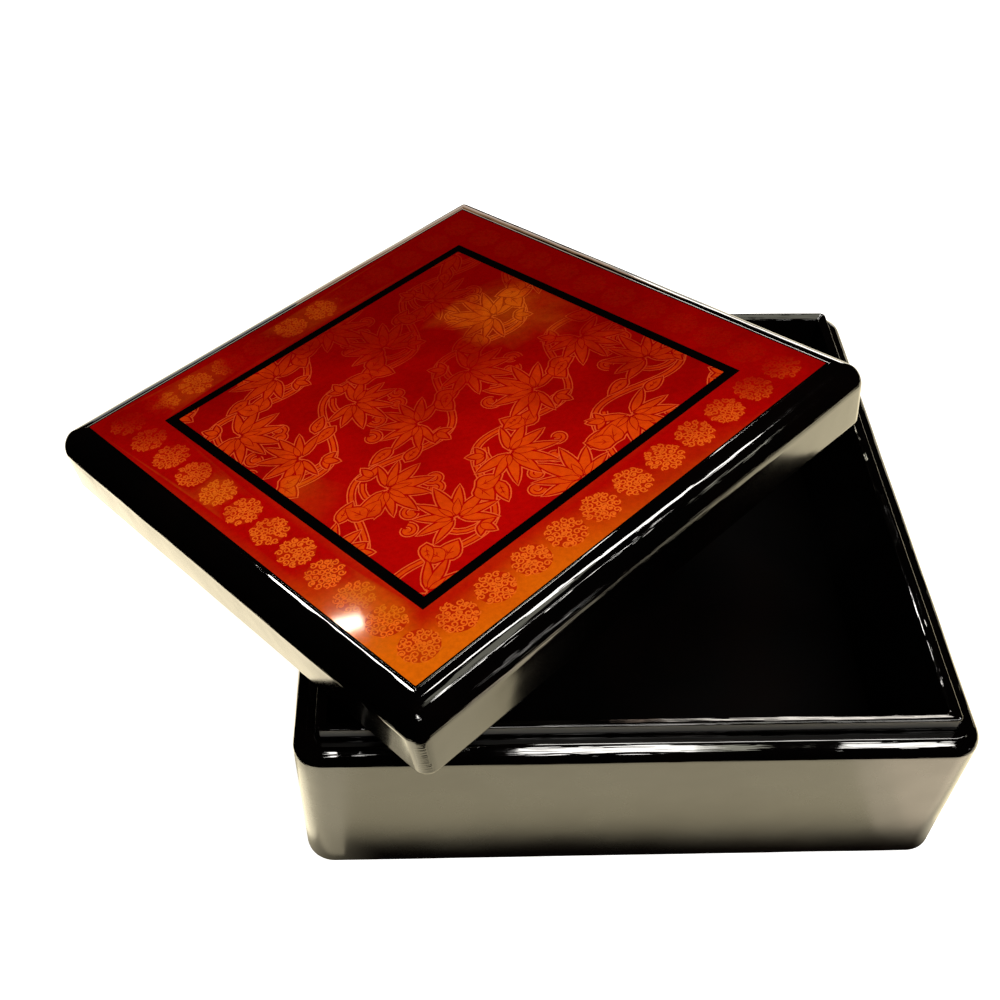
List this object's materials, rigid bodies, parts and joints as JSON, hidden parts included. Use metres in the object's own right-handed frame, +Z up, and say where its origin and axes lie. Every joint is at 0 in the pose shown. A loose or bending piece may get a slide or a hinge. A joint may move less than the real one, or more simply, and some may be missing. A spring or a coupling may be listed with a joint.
{
  "type": "lacquered papier mache box",
  "caption": "Square black lacquered papier mache box with a raised collar and a lift-off lid, its top covered by decorated red sheets, lying askew on the box.",
  "frame": {"origin": "Centre of the flat underside of the box, on the surface that it stands on.", "axes": "+Z up through the mouth of the box, -Y to the front side, +X to the right seen from the front."},
  "size_m": [0.2156, 0.203, 0.0792],
  "materials": {
    "black_lacquer": "gloss",
    "inner_lacquer": "gloss",
    "red_border": "gloss",
    "red_centre": "gloss"
  },
  "bodies": {
    "box": {"base_shell": "black_lacquer", "floor_lining": "inner_lacquer", "liner_front": "black_lacquer", "liner_right": "black_lacquer", "liner_back": "black_lacquer", "liner_left": "black_lacquer"},
    "lid": {"lid_shell": "black_lacquer", "lid_border_sheet": "red_border", "lid_centre_sheet": "red_centre"}
  },
  "joints": [
    {"name": "lid_lift", "type": "slide", "parent": "box", "child": "lid", "axis": [0, 0, 1], "range_m": [0, 0.1]}
  ]
}
